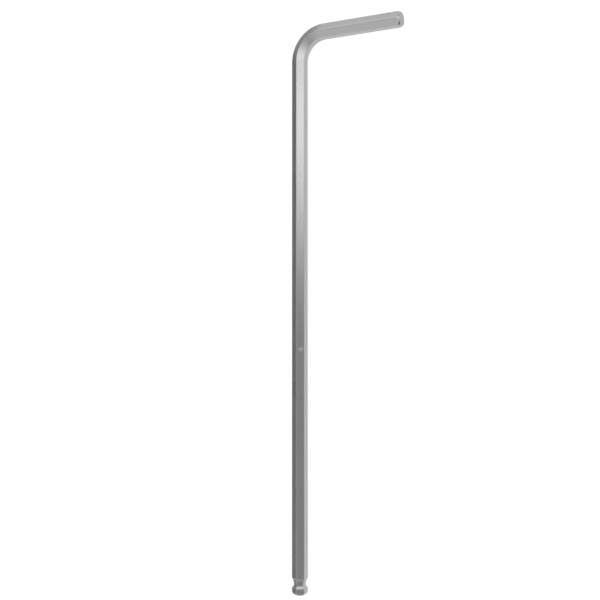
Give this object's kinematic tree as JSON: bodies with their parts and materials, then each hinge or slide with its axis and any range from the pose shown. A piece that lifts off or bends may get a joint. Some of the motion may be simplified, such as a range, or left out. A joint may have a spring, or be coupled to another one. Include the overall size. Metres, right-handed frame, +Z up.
{
  "type": "ball end hex key",
  "caption": "L-shaped hexagon key of bent steel bar, with a ball on an undercut neck at the end of its long arm and a plain chamfered end on its short arm.",
  "frame": {"origin": "on the surface that the key lies on, under the middle of its box", "axes": "+X along the long arm from the ball to the bend, -Y along the short arm from the bend to its end, +Z up, square to the plane of the two arms"},
  "size_m": [0.164, 0.0336, 0.0046],
  "materials": {
    "drawn_steel": "satin drawn steel",
    "ground_steel": "fine ground steel"
  },
  "bodies": {
    "root": {"ball": "ground_steel", "neck": "ground_steel", "long_arm": "drawn_steel", "bend": "drawn_steel", "short_arm": "drawn_steel", "short_tip": "ground_steel"}
  },
  "joints": []
}
